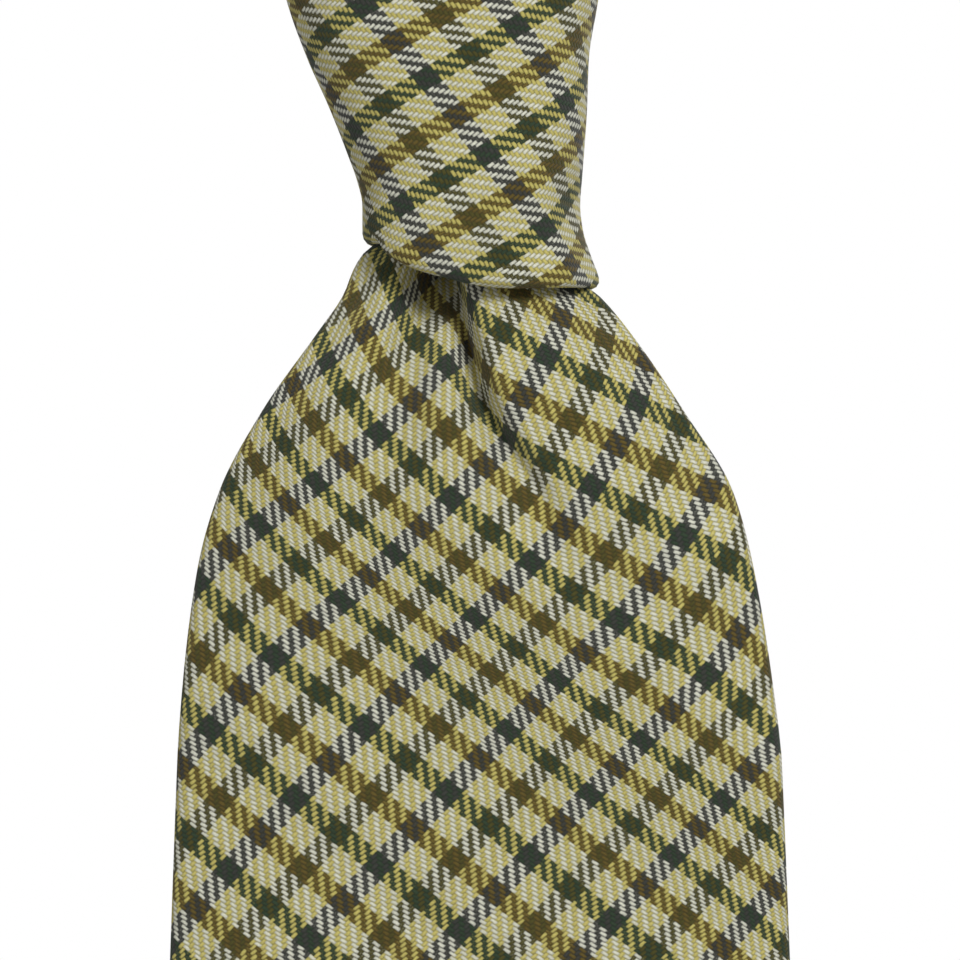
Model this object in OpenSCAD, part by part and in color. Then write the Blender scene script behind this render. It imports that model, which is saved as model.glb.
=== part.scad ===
// Necktie tied in a four-in-hand knot, as worn: neck loop, knot, front blade and tail.
// Origin at the middle of the neck opening. +Z is up, the tie's face looks along -Y.

/* [Neck loop] */
// Half the width of the neck opening, to the middle of the band
neck_half_w = 60; // [50:1:70]
// Half the depth of the neck opening, to the middle of the band
neck_half_d = 64; // [58:1:72]
// How far the band climbs from the knot to the back of the neck
neck_rise = 62; // [50:1:75]
// Width of the band round the neck
band_w = 33; // [28:1:36]

/* [Knot] */
// Height of the knot
knot_h = 41; // [36:1:46]
// Width of the knot at its mouth
knot_mouth_w = 27; // [26:1:32]
// Width of the knot near its top
knot_top_w = 37; // [34:1:42]
// Depth of the knot, front to back
knot_d = 26; // [26:1:28]

/* [Blades] */
// Length of the front blade below the knot
blade_l = 440; // [400:5:480]
// Greatest width of the front blade, at the shoulders above its tip
blade_w = 87; // [80:1:95]
// Length of the tail below the knot
tail_l = 372; // [340:4:390]
// Greatest width of the tail, at the shoulders above its tip
tail_w = 42; // [36:1:46]

/* [Cloth] */
// Thickness of a folded and lined blade
lined_t = 3.6; // [3.4:0.1:4]
// Thickness of the wool cloth
cloth_t = 0.8; // [0.6:0.1:0.9]
// Thickness of the interlining
interlining_t = 1; // [0.8:0.1:1]
// Thickness of the tipping silk
tipping_t = 0.4; // [0.2:0.1:0.4]
// Thickness of the sewing thread
thread_t = 0.5; // [0.4:0.1:0.6]

/* [Hidden] */

// Places
mouth_z = -80;                                  // the knot's lower edge
knot_y = -69;                                   // the knot's middle, front to back
knot_front_y = knot_y - knot_d / 2;
band_front_z = mouth_z + knot_h - 1;            // where the band's middle line would meet the front
face_y = -77.6;                                 // the face of the hanging front blade
tail_y = -65;                                   // the face of the hanging tail
play = 0.15;                                    // free space between layers that touch on the real tie
slit = 0.5;                                     // half the gap between the two edges of the folded cloth
join = 0.5;                                     // gap at a seam between two cut pieces

// Blade stations, all measured down from the knot's mouth
blade_top = 2;
blade_shoulder = blade_l - blade_w / 2;
blade_half_w = [[0, 14], [5, 18], [10, 21.4], [18, 26.6], [25, 30], [32, 31.8], [55, 34.4],
                [blade_shoulder - 6, blade_w / 2 - 0.2], [blade_shoulder + 2, blade_w / 2 - 1.2],
                [blade_l, 1.8]];
blade_curl = [[0, 4], [20, 5], [40, 4], [80, 2], [150, 1], [blade_l, 0.6]];
blade_rows = [blade_top, 6, 12, 20, 30, 42, 60, 85, 120, 180, 250, 320, blade_shoulder - 6,
              blade_shoulder + 2, blade_l - 34, blade_l - 22, blade_l - 10, blade_l];
blade_vent = 74;                                // height of the open V behind the tip
blade_columns = 12;

tail_split = 45;                                // where the sliding part of the tail ends
tail_neck_w = 13;                               // width of the gathered tail inside the knot
tail_end = 3;                                   // how far the tail reaches into the knot
tail_shoulder = tail_l - tail_w / 2;
tail_half_w = [[tail_split, tail_neck_w / 2 + 0.5], [80, 13], [120, 16.5],
               [tail_shoulder - 4, tail_w / 2 - 0.2], [tail_shoulder + 1, tail_w / 2 - 0.8], [tail_l, 1.6]];
tail_rows = [tail_split + 0.3, 60, 80, 120, 200, 280, tail_shoulder - 4, tail_shoulder + 1,
             tail_l - 14, tail_l - 6, tail_l];
tail_vent = 48;
tail_columns = 6;

// Keeper, label and care label, measured down from the knot's mouth
keeper_at = 236;
keeper_h = 11;
keeper_half_w = 27;
keeper_gap = 5.2;
label_at = 204;
label_h = 17;
label_half_w = 24;
care_at = 300;
care_h = 24;
care_half_w = 7;
woven_t = 0.35;                                 // thickness of the woven labels

wool = [0.53, 0.50, 0.30];
wool_dark = [0.40, 0.38, 0.24];
canvas = [0.86, 0.82, 0.72];
silk = [0.36, 0.34, 0.17];
thread = [0.25, 0.25, 0.18];
satin = [0.93, 0.92, 0.88];

// ---- Solids from rings ----

// A closed solid through rings of 3-D points that all have the same even count.
// The first half of a ring runs along one side of a strip, the second half back along the other.
module loft(rings) {
    n = len(rings[0]);
    rows = len(rings);
    last = (rows - 1) * n;
    polyhedron(
        points = [for (ring = rings) each ring],
        faces = concat(
            [for (i = [0 : n / 2 - 2]) each [[i, i + 1, n - 2 - i], [i, n - 2 - i, n - 1 - i]]],
            [for (r = [0 : rows - 2], i = [0 : n - 1])
                let (a = r * n + i, b = r * n + (i + 1) % n)
                each [[a, a + n, b + n], [a, b + n, b]]],
            [for (i = [0 : n / 2 - 2]) each [[last + i, last + n - 2 - i, last + i + 1],
                                             [last + i, last + n - 1 - i, last + n - 2 - i]]]
        ),
        convexity = 8
    );
}

// The same, for rings listed from the top down
module hanging_loft(rings) {
    loft([for (i = [len(rings) - 1 : -1 : 0]) rings[i]]);
}

// Evenly spaced numbers from a to b
function spread(a, b, n) = [for (i = [0 : n]) a + (b - a) * i / n];

// Cross-section of a strip folded in three: [across, depth] points, round its outside and back inside.
// half is its half width, gap the half width of the opening behind, face the depth of its face.
function folded_section(half, gap, face, n) =
    let (inner = half - cloth_t, back = lined_t - cloth_t)
    concat(
        [for (x = spread(-gap, -half, n / 2)) [x, face(x) + lined_t]],
        [for (x = spread(-half, half, n)) [x, face(x)]],
        [for (x = spread(half, gap, n / 2)) [x, face(x) + lined_t]],
        [for (x = spread(gap, inner, n / 2)) [x, face(x) + back]],
        [for (x = spread(inner, -inner, n)) [x, face(x) + cloth_t]],
        [for (x = spread(-inner, -gap, n / 2)) [x, face(x) + back]]
    );

// Cross-section of a flat layer between two depths behind the face
function layer_section(half, near, far, face, n) = concat(
    [for (x = spread(-half, half, n)) [x, face(x) + near]],
    [for (x = spread(half, -half, n)) [x, face(x) + far]]
);

lining_near = cloth_t + 2 * play;
lining_far = lining_near + interlining_t;
tipping_near = lined_t - cloth_t - play / 2 - tipping_t;
tipping_far = tipping_near + tipping_t;

// ---- Hanging blades ----

// Places a section of a hanging strip at distance v below the knot's mouth
function hang(section, v, y) = [for (p = section) [p[0], y + p[1], mouth_z - v]];

// Half width of the opening behind: a stitched slit, then a V down to the tip
function vent(v, length, height, half) =
    min(max(slit, (v - (length - height)) * 0.62), (half - cloth_t) * 0.72);

function blade_half(v) = lookup(v, blade_half_w);
function blade_face(v) = let (c = lookup(v, blade_curl), h = blade_half(v))
    function (x) -0.5 - c * 0.25 + c * (x / h) ^ 2;
function tail_half(v) = lookup(v, tail_half_w);
crowned = function (x) 0.0012 * x * x;

module blade_shell() {
    color(wool)
    hanging_loft([for (v = blade_rows) hang(
        folded_section(blade_half(v), vent(v, blade_l, blade_vent, blade_half(v)),
                       blade_face(v), blade_columns), v, face_y)]);
}

module blade_interlining() {
    rows = [for (v = blade_rows) if (v < blade_l - 8) v];
    color(canvas)
    hanging_loft([for (v = rows) hang(
        layer_section(blade_half(v) - cloth_t - 1, lining_near, lining_far, blade_face(v),
                      blade_columns), v, face_y)]);
}

module blade_tipping() {
    rows = [for (v = blade_rows) if (v > blade_l - 150 && v < blade_l - 8) v];
    color(silk)
    hanging_loft([for (v = rows) hang(
        layer_section(blade_half(v) - cloth_t - 2, tipping_near, tipping_far, blade_face(v),
                      blade_columns), v, face_y)]);
}

// A straight run of slip stitch in the slit behind a blade
module slip_stitch(rows, y, face_at) {
    half = thread_t / 2;
    near = lined_t - cloth_t + play;
    color(thread)
    hanging_loft([for (v = rows) let (d = face_at(v)(0) + near)
        hang([[-half, d], [half, d], [half, d + thread_t], [-half, d + thread_t]], v, y)]);
}

// A short bar of stitches across the slit, on the back of a blade
module bar_tack(v, back, width) {
    tack_t = 0.8;
    color(thread)
    translate([-width / 2, back, mouth_z - v - 0.8])
    cube([width, tack_t, 1.6]);
}

module blade_slip_stitch() {
    slip_stitch([for (v = blade_rows) if (v > 10 && v < blade_l - blade_vent - 3) v], face_y,
                function (v) blade_face(v));
}

module blade_bar_tack() {
    bar_tack(blade_l - blade_vent + 1, blade_back(blade_l - blade_vent, 4.5), 9);
}

// Where a flat piece of a half width lies against the back of the front blade
function blade_back(v, half) = face_y + blade_face(v)(half) + lined_t + play;
keeper_y = blade_back(keeper_at, keeper_half_w);
label_y = blade_back(label_at, label_half_w);

// A strip of the same cloth, arched over the gap that the tail passes through
module keeper_loop() {
    foot = 6;
    inner = keeper_half_w - foot;
    top = keeper_gap + cloth_t;
    color(wool_dark)
    translate([0, keeper_y, mouth_z - keeper_at])
    rotate([180, 0, 0])
    linear_extrude(height = keeper_h)
    mirror([0, 1])
    polygon([
        [-keeper_half_w, 0], [-inner, 0], [-inner + 1.5, keeper_gap], [inner - 1.5, keeper_gap],
        [inner, 0], [keeper_half_w, 0], [keeper_half_w, cloth_t], [inner + 0.8, cloth_t],
        [inner - 1, top], [-inner + 1, top], [-inner - 0.8, cloth_t], [-keeper_half_w, cloth_t]
    ]);
}

module keeper_stitches() {
    color(thread)
    for (side = [-1, 1], row = [0 : 3])
        translate([side * (keeper_half_w - 2.5), keeper_y + cloth_t + play + 0.2,
                   mouth_z - keeper_at - 2 - row * 2.4])
        cube([0.5, 0.4, 1.6], center = true);
}

module blank_label() {
    color(satin)
    translate([-label_half_w, label_y, mouth_z - label_at - label_h])
    cube([2 * label_half_w, woven_t, label_h]);
}

module label_stitches() {
    color(thread)
    for (side = [-1, 1], row = [0 : 4])
        translate([side * (label_half_w - 1.5), label_y + woven_t + play + 0.15,
                   mouth_z - label_at - 2 - row * 3.2])
        cube([0.4, 0.3, 2], center = true);
}

// ---- Tail ----

tail_upper_rows = [-tail_end, 20, tail_split];

module tail_upper_shell() {
    color(wool)
    hanging_loft([for (v = tail_upper_rows)
        hang(folded_section(tail_neck_w / 2, slit, crowned, tail_columns), v, tail_y)]);
}

module tail_upper_interlining() {
    color(canvas)
    hanging_loft([for (v = tail_upper_rows)
        hang(layer_section(tail_neck_w / 2 - cloth_t - 1, lining_near, lining_far, crowned, 2), v, tail_y)]);
}

module tail_shell() {
    color(wool)
    hanging_loft([for (v = tail_rows) hang(
        folded_section(tail_half(v), vent(v, tail_l, tail_vent, tail_half(v)), crowned, tail_columns),
        v, tail_y)]);
}

module tail_interlining() {
    rows = [for (v = tail_rows) if (v < tail_l - 5) v];
    color(canvas)
    hanging_loft([for (v = rows) hang(
        layer_section(tail_half(v) - cloth_t - 1, lining_near, lining_far, crowned, 2), v, tail_y)]);
}

module tail_tipping() {
    rows = [for (v = tail_rows) if (v > tail_l - 100 && v < tail_l - 5) v];
    color(silk)
    hanging_loft([for (v = rows) hang(
        layer_section(tail_half(v) - cloth_t - 1.5, tipping_near, tipping_far, crowned, 2), v, tail_y)]);
}

module tail_slip_stitch() {
    slip_stitch([tail_split + 6, tail_l - tail_vent - 3], tail_y, function (v) crowned);
}

module tail_bar_tack() {
    bar_tack(tail_l - tail_vent + 1, tail_y + lined_t + 2 * play, 7);
}

// A slip of satin ribbon sewn by its top edge to the back of the tail
module care_label() {
    color(satin)
    translate([-care_half_w, tail_y + lined_t + 0.3, mouth_z - care_at - care_h])
    cube([2 * care_half_w, woven_t, care_h]);
}

// ---- Knot ----

// Share of the height, lean to the left in mm, share of the way from mouth width to top width
knot_rows = [[0, 0, 0], [0.24, 1, -0.2], [0.37, 1.7, 0], [0.51, 2.5, 0.26], [0.64, 3.6, 0.53],
             [0.78, 4.2, 0.83], [1, 4.4, 1]];
knot_squareness = 3.5;

// A bent strip of the knot, from one angle to another round its squarish section.
// inset is the depth of its outer face below the knot's surface, t its thickness.
function knot_arc(row, inset, t, from, to, n) =
    let (
        half = (knot_mouth_w + row[2] * (knot_top_w - knot_mouth_w)) / 2,
        z = mouth_z + row[0] * knot_h,
        at = function (angle, d) let (
            c = cos(angle), s = sin(angle), e = knot_squareness,
            k = 1 / (abs(c) ^ e + abs(s) ^ e) ^ (1 / e))
            [-row[1] + (half - d) * c * k, knot_y + (knot_d / 2 - d) * s * k, z]
    )
    concat(
        [for (a = spread(from, to, n)) at(a, inset)],
        [for (a = spread(to, from, n)) at(a, inset + t)]
    );

wrap_t = 2.6;
inner_t = 2;

// The last pass of the blade, across the front and round both sides
module knot_front_wrap() {
    color(wool)
    loft([for (row = knot_rows) knot_arc(row, 0, wrap_t, -215, 35, 24)]);
}

// The first pass of the blade across the front, under the last one
module knot_inner_wrap() {
    color(wool_dark)
    loft([for (row = knot_rows) knot_arc(row, wrap_t + play, inner_t, -158, -22, 14)]);
}

// The pass behind the knot, between the two sides of the front wrap
module knot_back_pass() {
    color(wool)
    loft([for (row = knot_rows) knot_arc(row, 0, wrap_t, 38, 142, 12)]);
}

// The end of the blade, up over the top of the knot and down inside it to the mouth
module knot_throat() {
    front = knot_front_y + wrap_t + inner_t + 1.4;
    t = 3;
    top = mouth_z + knot_h;
    lean = -4;
    // height, half width, middle, front and back of each ring, and how far its back lies below
    rings = [[mouth_z, 5.4, 0, front, front + t, 0], [mouth_z + 10, 5.2, -1, front, front + t, 0],
             [top - 6, 5.4, lean, front, front + t, 0], [top + 1, 4.6, lean, front, front + t, 0],
             [top + 4.5, 4.6, lean, front + 1, front + t, 2.3],
             [top + 5, 4.6, lean, front + 4, front + 4, 2.6]];
    color(wool)
    loft([for (r = rings) [
        [r[2] - r[1], r[3], r[0]], [r[2] + r[1], r[3], r[0]],
        [r[2] + r[1], r[4], r[0] - r[5]], [r[2] - r[1], r[4], r[0] - r[5]]
    ]]);
}

// ---- Neck loop ----

// Middle of the band at an angle round the neck: 0 at the front, 180 behind
function band_point(a) = [
    neck_half_w * sin(a),
    -neck_half_d * cos(a),
    band_front_z + neck_rise * (1 - exp(-abs(a) / 45))
];

// The band's outward direction at one of its points
function band_out(p) =
    let (v = [p[0] / neck_half_w ^ 2, p[1] / neck_half_d ^ 2, 0]) v / norm(v);

// A ring's place on the band: [point, half width, direction towards a + side]
function band_ring(a, half, side) = [band_point(a), half, band_point(a + side) - band_point(a - side)];

// One side of the band: [point, half width] from the back of the neck down into the knot
seam_angle = 72;
stub_y = -68;
stub_x = 5.2;
knot_lean = 4;
function strand_line(side) = concat(
    [for (a = [seam_angle : -8 : 24]) band_ring(side * a, band_w / 2 - 1.5 * (seam_angle - a) / 16, -side)],
    [
        [[side * (stub_x + 10) - 0.6, -63.5, band_front_z + 13], 9.6],
        [[side * (stub_x + 3.2) - 2.8, -66.6, band_front_z + 3.5], 5.4],
        [[side * (stub_x + 0.6) - knot_lean + 0.2, stub_y, band_front_z - 4], 4.3],
        [[side * stub_x - knot_lean + 0.4, stub_y, band_front_z - 11], 4.2],
        [[side * stub_x - knot_lean + 1, stub_y, band_front_z - 17], 3.8]
    ]
);
neck_line = [for (a = [seam_angle : 12 : 360 - seam_angle])
    band_ring(a <= 180 ? a : a - 360, band_w / 2, 1)];

// Rings of a section that follows a line of [point, half width, direction if known], its width across the line
function swept(line, section) =
    let (last = len(line) - 1)
    [for (i = [0 : last])
        let (
            p = line[i][0],
            ahead = is_undef(line[i][2]) ? line[min(i + 1, last)][0] - line[max(i - 1, 0)][0] : line[i][2],
            along = ahead / norm(ahead),
            out = band_out(p),
            across_raw = cross(along, out),
            across = across_raw / norm(across_raw),
            level = cross(across, along)
        )
        [for (q = section(line[i][1])) p + across * q[0] - level * (q[1] - lined_t / 2)]
    ];

shell_section = function (half) folded_section(half, slit, crowned, 4);
lining_section = function (half) layer_section(half - cloth_t - 1, lining_near, lining_far, crowned, 2);
// The strands bend and twist on their way into the knot, so their interlining has more free space
strand_lining_section = function (half)
    layer_section(half - cloth_t - 2, lining_near + play, lining_far - play, crowned, 2);
stitch_section = function (half) let (d = lined_t - cloth_t + play, h = thread_t / 2)
    [[-h, d], [h, d], [h, d + thread_t], [-h, d + thread_t]];

// The line with its first point moved along it, to leave a gap at a seam
function trimmed(line, gap) =
    let (a = line[0], b = line[1], d = norm(b[0] - a[0]))
    [for (i = [0 : len(line) - 1]) i == 0 ? [a[0] + (b[0] - a[0]) * gap / d, a[1], a[2]] : line[i]];

module strand(side, section, gap) {
    loft(swept(trimmed(strand_line(side), gap), section));
}

module left_strand_shell() {
    color(wool) strand(-1, shell_section, join);
}

module left_strand_interlining() {
    color(canvas) strand(-1, strand_lining_section, 4 * join);
}

module right_strand_shell() {
    color(wool) strand(1, shell_section, join);
}

module right_strand_interlining() {
    color(canvas) strand(1, strand_lining_section, 4 * join);
}

module neck_piece_shell() {
    color(wool)
    loft(swept(neck_line, shell_section));
}

module neck_piece_interlining() {
    color(canvas)
    loft(swept(neck_line, lining_section));
}

module neck_slip_stitch() {
    color(thread)
    loft(swept(neck_line, stitch_section));
}

// A slanting line of thread over the outside of the band, at each seam between cut pieces
seam_section = function (half)
    [[-half, -play - thread_t], [half, -play - thread_t], [half, -play], [-half, -play]];

module piecing_seams() {
    slant = 9;
    color(thread)
    for (side = [-1, 1])
        loft(swept([for (k = [-0.9 : 0.3 : 0.9]) [
            band_point(side * (seam_angle + slant * k)) + [0, 0, k * band_w / 2], thread_t / 2]],
            seam_section));
}

neck_piece_shell();
neck_piece_interlining();
left_strand_shell();
left_strand_interlining();
right_strand_shell();
right_strand_interlining();
piecing_seams();
neck_slip_stitch();
knot_front_wrap();
knot_inner_wrap();
knot_back_pass();
knot_throat();
blade_shell();
blade_interlining();
blade_tipping();
blade_slip_stitch();
blade_bar_tack();
keeper_loop();
keeper_stitches();
blank_label();
label_stitches();
tail_upper_shell();
tail_upper_interlining();
tail_shell();
tail_interlining();
tail_tipping();
tail_slip_stitch();
tail_bar_tack();
care_label();
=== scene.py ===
"""A wool necktie in a four-in-hand knot: its cloth, lining, threads and labels, with table, light and camera.

Lengths are millimetres until a mesh is made, in the same axes as the frame. Cloth coordinates are counted in
yarns: one set runs down to the right across the tie's length, the other down to the left.
"""

import math

import bmesh
import bpy
import numpy as np
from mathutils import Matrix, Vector


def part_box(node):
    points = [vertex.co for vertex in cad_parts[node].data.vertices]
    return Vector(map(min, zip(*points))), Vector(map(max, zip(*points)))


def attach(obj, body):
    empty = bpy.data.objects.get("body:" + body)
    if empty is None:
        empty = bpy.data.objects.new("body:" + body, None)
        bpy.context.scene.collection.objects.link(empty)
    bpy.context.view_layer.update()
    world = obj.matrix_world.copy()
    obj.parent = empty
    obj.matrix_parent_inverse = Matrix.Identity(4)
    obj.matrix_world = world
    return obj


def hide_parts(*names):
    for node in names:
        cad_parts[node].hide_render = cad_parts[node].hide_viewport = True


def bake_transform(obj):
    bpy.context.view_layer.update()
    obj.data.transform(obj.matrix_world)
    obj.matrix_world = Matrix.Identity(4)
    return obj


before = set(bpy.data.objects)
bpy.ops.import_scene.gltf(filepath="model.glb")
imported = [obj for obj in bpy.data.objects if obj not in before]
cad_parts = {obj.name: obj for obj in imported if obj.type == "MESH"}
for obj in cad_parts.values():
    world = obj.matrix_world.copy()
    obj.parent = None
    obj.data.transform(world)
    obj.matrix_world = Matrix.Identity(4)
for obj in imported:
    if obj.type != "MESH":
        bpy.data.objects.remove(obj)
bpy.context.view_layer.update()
MM = 0.001


def corners(node):
    """A CAD node's lowest and highest corner, in millimetres."""
    low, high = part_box(node)
    return np.array(low) / MM, np.array(high) / MM


# ---- Places, from the frame ----

WRAP_LOW, WRAP_HIGH = corners("knot_front_wrap")
_, BACK_HIGH = corners("knot_back_pass")
BLADE_LOW, BLADE_HIGH = corners("blade_shell")
TAIL_LOW, TAIL_HIGH = corners("tail_shell")
MOUTH_Z = WRAP_LOW[2]  # the knot's lower edge, where the blade comes out
KNOT_H = WRAP_HIGH[2] - MOUTH_Z
KNOT_Y = (WRAP_LOW[1] + BACK_HIGH[1]) / 2
BLADE_L = MOUTH_Z - BLADE_LOW[2]
BLADE_HALF = BLADE_HIGH[0]
TAIL_L = MOUTH_Z - TAIL_LOW[2]
TAIL_HALF = TAIL_HIGH[0]

# ---- Cloth ----

CLOTH_T = 0.75
LINING_T = 0.9
SILK_T = 0.3
LABEL_T = 0.33
LINED_T = 3.5  # a folded strip with its interlining
YARN = 0.413  # from one yarn to the next
WARP_ANGLE = math.radians(51)  # across the warp yarns, as the blade lies flat
WEFT_ANGLE = math.radians(137)
KNOT_WARP, KNOT_WEFT = 0.376, 0.411  # the knot's cloth is pulled tighter and lies turned
KNOT_WARP_ANGLE = math.radians(-59)
KNOT_WEFT_ANGLE = math.radians(39)
LIGHT_YARNS, CHECK_YARNS, REPEAT = 8, 14, 28  # light yarns in a check, yarns in a check, yarns in two checks
SQUARE_MIDDLE = 25.0 + 60 * REPEAT  # a square of brown and olive; counting from high up keeps counts positive
BLADE_SQUARE = (6.9, MOUTH_Z - 38.5)  # where one of those squares shows on the blade
KNOT_SQUARE = (-7.4, MOUTH_Z + 16)  # and on the knot


# ---- Numbers ----


def curve(*points):
    """A smooth curve through (x, y) points that doesn't overshoot between them."""
    x, y = np.array(points, float).T
    h = np.diff(x)
    slope = np.diff(y) / h
    m = np.empty_like(y)
    m[0], m[-1] = slope[0], slope[-1]
    for i in range(1, len(x) - 1):
        a, b = slope[i - 1], slope[i]
        m[i] = 0 if a * b <= 0 else 2 * a * b / (a + b)

    def at(value):
        v = np.clip(np.asarray(value, float), x[0], x[-1])
        i = np.clip(np.searchsorted(x, v, side="right") - 1, 0, len(h) - 1)
        u = (v - x[i]) / h[i]
        return (
            y[i] * (1 + 2 * u) * (1 - u) ** 2
            + y[i + 1] * (3 - 2 * u) * u**2
            + h[i] * (m[i] * u * (1 - u) ** 2 - m[i + 1] * (1 - u) * u**2)
        )

    return at


def unit(v):
    return v / np.maximum(np.linalg.norm(v, axis=-1, keepdims=True), 1e-9)


def bump(x, width):
    """1 at x = 0, falling to nothing a few widths away."""
    return np.exp(-((x / width) ** 2))


def level(height):
    """A line that stays at one height."""
    return lambda x: height + 0 * x


def level_row(x, y, z):
    """Points at one height z."""
    return np.stack([x, y, np.full_like(x, z)], -1)


# ---- Meshes ----


def grid_faces(rows, cols, first=0):
    """Quads between a grid of points, numbered from first."""
    a = np.arange(rows * cols).reshape(rows, cols) + first
    return np.stack([a[:-1, :-1], a[1:, :-1], a[1:, 1:], a[:-1, 1:]], -1).reshape(-1, 4)


def grid_normals(p):
    return unit(np.cross(np.gradient(p, axis=0), np.gradient(p, axis=1)))


def add_mesh(name, points, faces, uv, material, nodes=(), body=None):
    """A smooth-shaded piece from points in millimetres, with one yarn coordinate per point."""
    mesh = bpy.data.meshes.new(name)
    mesh.from_pydata((np.asarray(points) * MM).tolist(), [], [list(map(int, f)) for f in faces])
    if uv is not None:
        layer = mesh.uv_layers.new(name="yarns")
        index = np.empty(len(mesh.loops), int)
        mesh.loops.foreach_get("vertex_index", index)
        layer.data.foreach_set("uv", np.asarray(uv)[index].astype(np.float32).ravel())
    shaped = bmesh.new()
    shaped.from_mesh(mesh)
    bmesh.ops.recalc_face_normals(shaped, faces=shaped.faces)
    shaped.to_mesh(mesh)
    shaped.free()
    mesh.polygons.foreach_set("use_smooth", [True] * len(mesh.polygons))
    mesh.update()
    obj = bpy.data.objects.new(name, mesh)
    bpy.context.scene.collection.objects.link(obj)
    obj.data.materials.append(material)
    if body:
        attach(obj, body)
    if nodes:
        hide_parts(*nodes)
    return obj


def cloth(name, grid, uv, thickness, material, nodes, body=None):
    """A sheet of cloth: a grid of points on its outer face, thickened inwards and closed round its edge."""
    rows, cols = grid.shape[:2]
    n = rows * cols
    inner = grid - grid_normals(grid) * thickness
    a = np.arange(n).reshape(rows, cols)
    edge = np.concatenate([a[0], a[1:, -1], a[-1, -2::-1], a[-2::-1, 0]])
    rim = np.stack([edge[:-1], edge[1:], edge[1:] + n, edge[:-1] + n], -1)
    faces = np.concatenate([grid_faces(rows, cols), grid_faces(rows, cols, n)[:, ::-1], rim])
    points = np.concatenate([grid.reshape(-1, 3), inner.reshape(-1, 3)])
    both = np.concatenate([uv.reshape(-1, 2)] * 2)
    piece = add_mesh(name, points, faces, both, material, nodes, body)
    return piece


def threads(name, paths, radius, nodes, body=None):
    """Round threads along one or more paths, as one piece."""
    sides = 6
    points, faces = [], []
    for path in paths:
        path = np.asarray(path, float)
        along = unit(np.gradient(path, axis=0))
        side = unit(np.cross(along, np.array([0.31, 0.17, 0.93])))
        up = np.cross(side, along)
        angle = np.linspace(0, 2 * math.pi, sides, endpoint=False)
        ring = (
            path[:, None]
            + radius * np.cos(angle)[None, :, None] * side[:, None]
            + radius * np.sin(angle)[None, :, None] * up[:, None]
        )
        first = sum(len(p) for p in points)
        points.append(ring.reshape(-1, 3))
        a = np.arange(len(path) * sides).reshape(len(path), sides) + first
        b = np.roll(a, -1, axis=1)
        faces += np.stack([a[:-1], b[:-1], b[1:], a[1:]], -1).reshape(-1, 4).tolist()
        faces += [a[0][::-1].tolist(), a[-1].tolist()]
    return add_mesh(name, np.concatenate(points), faces, None, THREAD, nodes, body)


# ---- Laying the woven cloth on a surface ----


def relax(surface, flat, fixed, rounds):
    """Moves a grid's flat points until its edges have their lengths on the surface, as cloth keeps them."""
    steps = ((0, 1), (1, 0), (1, 1), (1, -1))
    share, glide = 1.6, 0.86  # of the mean push per round, and of the last round's move
    rows, cols = surface.shape[:2]

    def pair(dr, dc):
        low = (slice(0, rows - dr), slice(max(0, -dc), cols - max(0, dc)))
        high = (slice(dr, rows), slice(max(0, dc), cols - max(0, -dc)))
        return low, high

    pairs = [pair(*s) for s in steps]
    lengths = [np.linalg.norm(surface[h] - surface[l], axis=-1) for l, h in pairs]
    count = np.zeros((rows, cols))
    for l, h in pairs:
        count[l] += 1
        count[h] += 1
    p = flat.copy()
    previous = p.copy()
    for _ in range(rounds):
        total = np.zeros_like(p)
        for (l, h), length in zip(pairs, lengths):
            d = p[h] - p[l]
            size = np.maximum(np.linalg.norm(d, axis=-1), 1e-6)
            push = d * (0.5 * (size - length) / size)[..., None]
            total[l] += push
            total[h] -= push
        moved = p + share * total / count[..., None] + glide * (p - previous)
        moved[fixed] = p[fixed]
        previous, p = p, moved
    return p


def lay(surface, flat, fixed, rounds=260):
    """relax() on every fourth, every second and then every point of the grid."""
    rows, cols = surface.shape[:2]
    guess = flat
    for stride in (4, 2, 1):
        r = np.unique(np.append(np.arange(0, rows, stride), rows - 1))
        c = np.unique(np.append(np.arange(0, cols, stride), cols - 1))
        part = relax(surface[np.ix_(r, c)], guess[np.ix_(r, c)], fixed[np.ix_(r, c)], rounds * stride)
        if stride == 1:
            return part
        change = part - guess[np.ix_(r, c)]
        wide = np.stack([
            np.stack([np.interp(np.arange(cols), c, change[i, :, k]) for i in range(len(r))]) for k in (0, 1)
        ], -1)
        full = np.stack([
            np.stack([np.interp(np.arange(rows), r, wide[:, j, k]) for j in range(cols)], 1) for k in (0, 1)
        ], -1)
        guess = guess + full
        guess[fixed] = flat[fixed]


def weave(flat, warp_angle=WARP_ANGLE, weft_angle=WEFT_ANGLE, warp=YARN, weft=YARN, at=(0, 0), dense=None):
    """Yarn counts at flat points (right, up). A square of brown and olive has its middle at the point at."""
    u = flat[..., 0] * math.cos(warp_angle) + flat[..., 1] * math.sin(warp_angle)
    v = flat[..., 0] * math.cos(weft_angle) + flat[..., 1] * math.sin(weft_angle)
    u0 = at[0] * math.cos(warp_angle) + at[1] * math.sin(warp_angle)
    v0 = at[0] * math.cos(weft_angle) + at[1] * math.sin(weft_angle)
    if dense is None:
        count = (u - u0) / warp
    else:
        step = 0.5
        line = np.arange(-420, 120, step)
        total = np.cumsum(1 / warp + dense(line)) * step
        count = np.interp(u, line, total) - np.interp(u0, line, total)
    return np.stack([count + SQUARE_MIDDLE, (v - v0) / weft + SQUARE_MIDDLE], -1)


# ---- Node materials ----


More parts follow.
